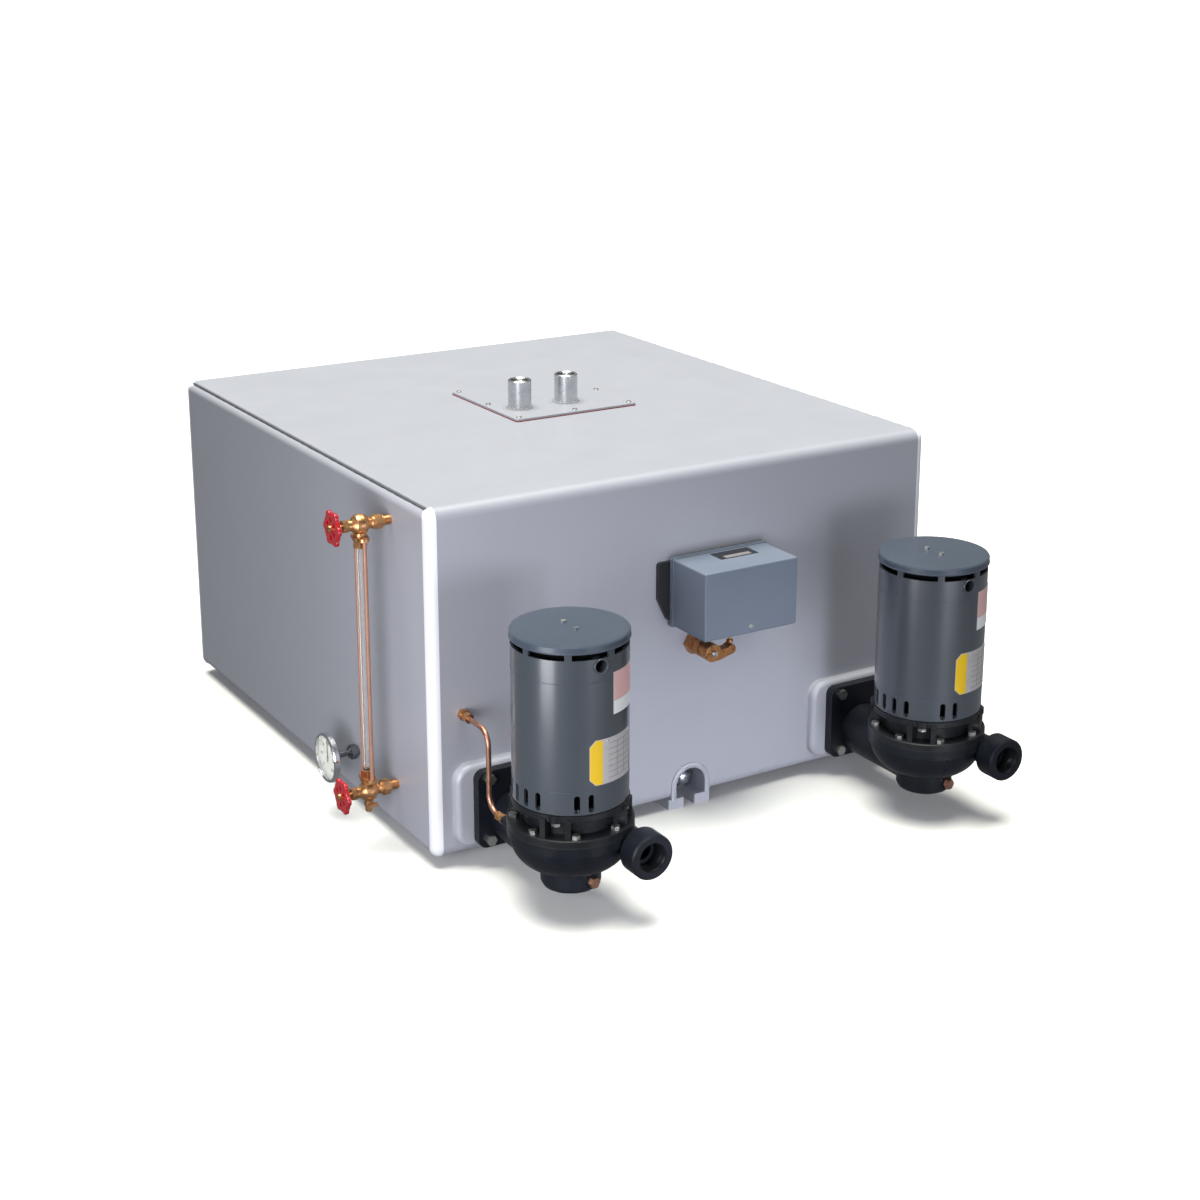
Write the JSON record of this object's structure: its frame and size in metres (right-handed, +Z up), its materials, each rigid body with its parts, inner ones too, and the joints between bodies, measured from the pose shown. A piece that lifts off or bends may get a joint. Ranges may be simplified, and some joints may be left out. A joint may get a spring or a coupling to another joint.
{
  "type": "condensate pump",
  "caption": "Duplex condensate return unit: a floor-standing rectangular receiver with two vertical motor-driven centrifugal pumps, float switch, water gauge and thermometer.",
  "frame": {"origin": "centre of the outline on the floor plane", "axes": "+Z up; -Y is the side with the two pumps, so the discharge nozzles point along -Y; -X is the side with the water gauge"},
  "size_m": [1.014, 1.292, 0.617],
  "materials": {
    "tank_paint": "light silver-grey enamel, slightly glossy",
    "pad_paint": "silver-grey enamel over a machined pad",
    "recess_metal": "dark steel, lightly oiled",
    "gasket_red": "red sheet gasket",
    "zinc": "bright zinc plate",
    "coupling_steel": "bright steel half coupling",
    "brass": "turned brass",
    "copper": "copper tube",
    "wheel_red": "red enamelled casting",
    "gauge_glass": "clear glass tube",
    "lens_glass": "clear flat glass",
    "bezel": "bright plated steel",
    "dial_white": "white enamelled dial",
    "pointer_black": "black enamel",
    "switch_paint": "blue-grey enamel",
    "switch_plate": "black enamel",
    "contact_plastic": "black moulded plastic",
    "float_steel": "stainless steel",
    "cast_black": "blue-black enamel on cast iron",
    "impeller_bronze": "cast bronze",
    "shaft_steel": "ground steel",
    "rotor_steel": "stacked laminations with aluminium end rings",
    "motor_paint": "grey enamel",
    "plate_foil": "printed aluminium plate"
  },
  "bodies": {
    "receiver": {"tank_wrap": "tank_paint", "tank_head_left": "tank_paint", "tank_head_right": "tank_paint", "pump_pads": "pad_paint", "base_rails": "tank_paint", "drain_pocket": "tank_paint", "drain_feet": "tank_paint", "drain_coupling": "recess_metal", "drain_plug": "recess_metal", "cover_gasket": "gasket_red", "cover_plate": "tank_paint", "cover_screws": "zinc", "top_couplings": "coupling_steel", "gauge_valve_upper": "brass", "gauge_valve_lower": "brass", "gauge_glass": "gauge_glass", "gauge_rods": "copper", "gauge_nuts": "brass", "thermometer_case": "bezel", "thermometer_dial": "dial_white", "thermometer_lens": "lens_glass", "switch_bracket": "switch_plate", "switch_cover": "switch_paint", "switch_contacts": "contact_plastic", "float_bushing": "brass", "pump_casing_left": "cast_black", "pump_casing_right": "cast_black", "motor_adapter_left": "cast_black", "motor_adapter_right": "cast_black", "motor_shell_left": "motor_paint", "motor_shell_right": "motor_paint", "motor_stators": "rotor_steel", "lower_end_bells": "motor_paint", "upper_end_bells": "motor_paint", "drip_caps": "motor_paint", "cap_screws": "zinc", "motor_bearings": "shaft_steel", "pump_gaskets": "gasket_red", "pump_bolts": "zinc", "vent_tubes": "copper", "vent_fittings": "brass", "casing_plugs": "copper", "motor_plates": "plate_foil"},
    "left_rotor": {"motor_shaft_left": "shaft_steel", "motor_rotor_left": "rotor_steel", "impeller_left": "impeller_bronze"},
    "right_rotor": {"motor_shaft_right": "shaft_steel", "motor_rotor_right": "rotor_steel", "impeller_right": "impeller_bronze"},
    "upper_stem": {"gauge_stem_upper": "brass"},
    "upper_wheel": {"gauge_wheel_upper": "wheel_red"},
    "lower_stem": {"gauge_stem_lower": "brass"},
    "lower_wheel": {"gauge_wheel_lower": "wheel_red"},
    "cock_key": {"drain_cock_key": "brass"},
    "pointer": {"thermometer_pointer": "pointer_black"},
    "float": {"float_shaft": "float_steel", "float_lever": "brass", "float_rod": "float_steel", "float_ball": "float_steel"},
    "plunger": {"switch_plunger": "brass"}
  },
  "joints": [
    {"name": "left_motor_spin", "type": "hinge", "parent": "receiver", "child": "left_rotor", "pos_m": [-0.285, -0.525, 0.117], "axis": [0, 0, 1], "continuous": true},
    {"name": "right_motor_spin", "type": "hinge", "parent": "receiver", "child": "right_rotor", "pos_m": [0.37, -0.525, 0.117], "axis": [0, 0, 1], "continuous": true},
    {"name": "upper_stem_travel", "type": "slide", "parent": "receiver", "child": "upper_stem", "axis": [-1, 0, 0], "range_m": [0, 0.003]},
    {"name": "upper_wheel_turn", "type": "hinge", "parent": "upper_stem", "child": "upper_wheel", "pos_m": [-0.499, -0.209, 0.52], "axis": [-1, 0, 0], "range_deg": [0, 540]},
    {"name": "lower_stem_travel", "type": "slide", "parent": "receiver", "child": "lower_stem", "axis": [-1, 0, 0], "range_m": [0, 0.003]},
    {"name": "lower_wheel_turn", "type": "hinge", "parent": "lower_stem", "child": "lower_wheel", "pos_m": [-0.499, -0.209, 0.097], "axis": [-1, 0, 0], "range_deg": [0, 540]},
    {"name": "drain_cock_turn", "type": "hinge", "parent": "receiver", "child": "cock_key", "pos_m": [-0.456, -0.222, 0.078], "axis": [0, -1, 0], "range_deg": [0, 90]},
    {"name": "pointer_swing", "type": "hinge", "parent": "receiver", "child": "pointer", "pos_m": [-0.459, -0.066, 0.099], "axis": [-1, 0, 0], "range_deg": [-135, 135]},
    {"name": "float_swing", "type": "hinge", "parent": "receiver", "child": "float", "pos_m": [0.05, -0.26, 0.279], "axis": [0, -1, 0], "range_deg": [-25, 25]},
    {"name": "plunger_lift", "type": "slide", "parent": "receiver", "child": "plunger", "axis": [0, 0, 1], "range_m": [-0.0155, 0.0155]}
  ],
  "couplings": [
    {"joint": "upper_stem_travel", "follows": "upper_wheel_turn", "m_per_rad": 0.000318},
    {"joint": "lower_stem_travel", "follows": "lower_wheel_turn", "m_per_rad": 0.000318},
    {"joint": "plunger_lift", "follows": "float_swing", "m_per_rad": 0.034}
  ]
}
